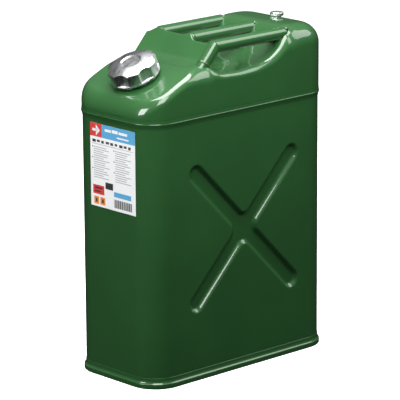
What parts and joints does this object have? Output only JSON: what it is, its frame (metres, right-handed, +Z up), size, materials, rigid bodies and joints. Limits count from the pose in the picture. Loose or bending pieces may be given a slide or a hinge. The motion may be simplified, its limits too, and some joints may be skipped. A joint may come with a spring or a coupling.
{
  "type": "steel fuel can",
  "caption": "Upright steel fuel can with crossed pressings, carrying bars over a hand recess, a sloping filler with a screw cap and a small screw vent.",
  "frame": {"origin": "on the floor, under the middle of the foot seam", "axes": "+Z up, X along the can with the filler at -X and the vent at +X, Y across it"},
  "size_m": [0.3508, 0.175, 0.4845],
  "materials": {
    "green_paint": "deep green gloss enamel",
    "cap_aluminium": "cast and polished",
    "vent_chrome": "polished",
    "bare_metal": "turned",
    "black_rubber": "matt black",
    "label_film": "printed film"
  },
  "bodies": {
    "can": {"body_shell": "green_paint", "body_weld_seam": "green_paint", "cover_seam_bead": "green_paint", "bottom_chime": "green_paint", "bottom_pan": "green_paint", "top_cover": "green_paint", "handle_bar_near": "green_paint", "handle_bar_centre": "green_paint", "handle_bar_far": "green_paint", "handle_post_near": "green_paint", "handle_post_centre": "green_paint", "handle_post_far": "green_paint", "handle_post_weld": "green_paint", "handle_web": "green_paint", "handle_weld_near": "green_paint", "handle_weld_centre": "green_paint", "handle_weld_far": "green_paint", "filler_neck": "bare_metal", "filler_neck_weld": "green_paint", "vent_neck": "bare_metal", "vent_neck_ring": "green_paint", "front_label": "label_film"},
    "cap_seal": {"cap_gasket": "black_rubber"},
    "cap": {"filler_cap": "cap_aluminium"},
    "vent_seal": {"vent_gasket": "black_rubber"},
    "vent_plug": {"vent_cap": "vent_chrome"}
  },
  "joints": [
    {"name": "cap_lift", "type": "slide", "parent": "can", "child": "cap_seal", "axis": [-0.4067, 0, 0.9135], "range_m": [0, 0.02401]},
    {"name": "cap_turn", "type": "hinge", "parent": "cap_seal", "child": "cap", "pos_m": [-0.1228, 0, 0.42783], "axis": [-0.4067, 0, 0.9135], "range_deg": [0, 1440]},
    {"name": "vent_lift", "type": "slide", "parent": "can", "child": "vent_seal", "axis": [0, 0, 1], "range_m": [0, 0.00451]},
    {"name": "vent_turn", "type": "hinge", "parent": "vent_seal", "child": "vent_plug", "pos_m": [0.1495, 0, 0.47827], "axis": [0, 0, 1], "range_deg": [0, 1080]}
  ],
  "couplings": [
    {"joint": "cap_lift", "follows": "cap_turn", "m_per_rad": 0.00095493},
    {"joint": "vent_lift", "follows": "vent_turn", "m_per_rad": 0.00023873}
  ]
}
